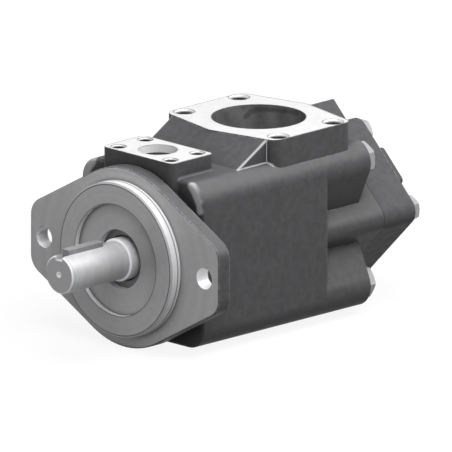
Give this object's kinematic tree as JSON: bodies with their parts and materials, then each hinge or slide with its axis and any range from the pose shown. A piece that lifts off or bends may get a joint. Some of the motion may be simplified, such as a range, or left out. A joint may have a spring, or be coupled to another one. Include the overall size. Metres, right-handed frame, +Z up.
{
  "type": "hydraulic vane pump",
  "caption": "Double vane pump with a two-bolt flange, keyed shaft, top suction port and two pressure ports, its shaft, bearing cage and vanes free to move.",
  "frame": {"origin": "on the shaft's axis at the flange's mounting face", "axes": "+Y along the shaft towards the rear, the shaft's end at -Y, +Z up through the suction port, +X to the right seen from the front"},
  "size_m": [0.213, 0.346, 0.162],
  "materials": {
    "painted_casting": "satin dark grey paint, machined faces bare",
    "shaft_steel": "ground",
    "bolt_zinc": "bright zinc plate",
    "seal_rubber": "matt",
    "bearing_steel": "polished",
    "cage_steel": "pressed",
    "spring_steel": "oiled black",
    "cartridge_iron": "ground",
    "vane_steel": "ground",
    "bush_bronze": "turned"
  },
  "bodies": {
    "casing": {"mounting_cap": "painted_casting", "housing": "painted_casting", "end_cap": "painted_casting", "housing_bolts": "bolt_zinc", "end_cap_bolts": "bolt_zinc", "shaft_seal": "seal_rubber", "seal_garter_spring": "spring_steel", "bearing_outer_race": "bearing_steel", "bearing_circlip": "spring_steel", "rear_bush": "bush_bronze", "cap_joint_seal": "seal_rubber", "end_cap_joint_seal": "seal_rubber", "front_port_plate": "cartridge_iron", "front_side_plate": "cartridge_iron", "front_cam_ring": "cartridge_iron", "front_cartridge_screws": "spring_steel", "front_cartridge_dowels": "vane_steel", "front_plate_seal": "seal_rubber", "front_hub_seal": "seal_rubber", "rear_port_plate": "cartridge_iron", "rear_side_plate": "cartridge_iron", "rear_cam_ring": "cartridge_iron", "rear_cartridge_screws": "spring_steel", "rear_cartridge_dowels": "vane_steel", "rear_plate_seal": "seal_rubber", "rear_hub_seal": "seal_rubber"},
    "shaft": {"shaft": "shaft_steel", "shaft_key": "shaft_steel", "bearing_inner_race": "bearing_steel", "shaft_circlip": "spring_steel", "front_rotor": "cartridge_iron", "rear_rotor": "cartridge_iron"},
    "cage": {"bearing_cage": "cage_steel", "bearing_balls": "bearing_steel"},
    "front_vane_01": {"front_vane_01": "vane_steel"},
    "front_vane_02": {"front_vane_02": "vane_steel"},
    "front_vane_03": {"front_vane_03": "vane_steel"},
    "front_vane_04": {"front_vane_04": "vane_steel"},
    "front_vane_05": {"front_vane_05": "vane_steel"},
    "front_vane_06": {"front_vane_06": "vane_steel"},
    "front_vane_07": {"front_vane_07": "vane_steel"},
    "front_vane_08": {"front_vane_08": "vane_steel"},
    "front_vane_09": {"front_vane_09": "vane_steel"},
    "front_vane_10": {"front_vane_10": "vane_steel"},
    "rear_vane_01": {"rear_vane_01": "vane_steel"},
    "rear_vane_02": {"rear_vane_02": "vane_steel"},
    "rear_vane_03": {"rear_vane_03": "vane_steel"},
    "rear_vane_04": {"rear_vane_04": "vane_steel"},
    "rear_vane_05": {"rear_vane_05": "vane_steel"},
    "rear_vane_06": {"rear_vane_06": "vane_steel"},
    "rear_vane_07": {"rear_vane_07": "vane_steel"},
    "rear_vane_08": {"rear_vane_08": "vane_steel"},
    "rear_vane_09": {"rear_vane_09": "vane_steel"},
    "rear_vane_10": {"rear_vane_10": "vane_steel"}
  },
  "joints": [
    {"name": "shaft_spin", "type": "hinge", "parent": "casing", "child": "shaft", "pos_m": [0, 0, 0], "axis": [0, 1, 0], "continuous": true},
    {"name": "cage_spin", "type": "hinge", "parent": "casing", "child": "cage", "pos_m": [0, 0.0205, 0], "axis": [0, 1, 0], "continuous": true},
    {"name": "front_vane_01_slide", "type": "slide", "parent": "shaft", "child": "front_vane_01", "axis": [1, 0, 0], "range_m": [0, 0.0049]},
    {"name": "front_vane_02_slide", "type": "slide", "parent": "shaft", "child": "front_vane_02", "axis": [0.809, 0, -0.5878], "range_m": [0, 0.003]},
    {"name": "front_vane_03_slide", "type": "slide", "parent": "shaft", "child": "front_vane_03", "axis": [0.309, 0, -0.9511], "range_m": [0, 0.00065]},
    {"name": "front_vane_04_slide", "type": "slide", "parent": "shaft", "child": "front_vane_04", "axis": [-0.309, 0, -0.9511], "range_m": [0, 0.00065]},
    {"name": "front_vane_05_slide", "type": "slide", "parent": "shaft", "child": "front_vane_05", "axis": [-0.809, 0, -0.5878], "range_m": [0, 0.003]},
    {"name": "front_vane_06_slide", "type": "slide", "parent": "shaft", "child": "front_vane_06", "axis": [-1, 0, 0], "range_m": [0, 0.0049]},
    {"name": "front_vane_07_slide", "type": "slide", "parent": "shaft", "child": "front_vane_07", "axis": [-0.809, 0, 0.5878], "range_m": [0, 0.003]},
    {"name": "front_vane_08_slide", "type": "slide", "parent": "shaft", "child": "front_vane_08", "axis": [-0.309, 0, 0.9511], "range_m": [0, 0.00065]},
    {"name": "front_vane_09_slide", "type": "slide", "parent": "shaft", "child": "front_vane_09", "axis": [0.309, 0, 0.9511], "range_m": [0, 0.00065]},
    {"name": "front_vane_10_slide", "type": "slide", "parent": "shaft", "child": "front_vane_10", "axis": [0.809, 0, 0.5878], "range_m": [0, 0.003]},
    {"name": "rear_vane_01_slide", "type": "slide", "parent": "shaft", "child": "rear_vane_01", "axis": [1, 0, 0], "range_m": [0, 0.0039]},
    {"name": "rear_vane_02_slide", "type": "slide", "parent": "shaft", "child": "rear_vane_02", "axis": [0.809, 0, -0.5878], "range_m": [0, 0.00235]},
    {"name": "rear_vane_03_slide", "type": "slide", "parent": "shaft", "child": "rear_vane_03", "axis": [0.309, 0, -0.9511], "range_m": [0, 0.0006]},
    {"name": "rear_vane_04_slide", "type": "slide", "parent": "shaft", "child": "rear_vane_04", "axis": [-0.309, 0, -0.9511], "range_m": [0, 0.0006]},
    {"name": "rear_vane_05_slide", "type": "slide", "parent": "shaft", "child": "rear_vane_05", "axis": [-0.809, 0, -0.5878], "range_m": [0, 0.00235]},
    {"name": "rear_vane_06_slide", "type": "slide", "parent": "shaft", "child": "rear_vane_06", "axis": [-1, 0, 0], "range_m": [0, 0.0039]},
    {"name": "rear_vane_07_slide", "type": "slide", "parent": "shaft", "child": "rear_vane_07", "axis": [-0.809, 0, 0.5878], "range_m": [0, 0.00235]},
    {"name": "rear_vane_08_slide", "type": "slide", "parent": "shaft", "child": "rear_vane_08", "axis": [-0.309, 0, 0.9511], "range_m": [0, 0.0006]},
    {"name": "rear_vane_09_slide", "type": "slide", "parent": "shaft", "child": "rear_vane_09", "axis": [0.309, 0, 0.9511], "range_m": [0, 0.0006]},
    {"name": "rear_vane_10_slide", "type": "slide", "parent": "shaft", "child": "rear_vane_10", "axis": [0.809, 0, 0.5878], "range_m": [0, 0.00235]}
  ],
  "couplings": [
    {"joint": "cage_spin", "follows": "shaft_spin", "ratio": 0.3963}
  ]
}
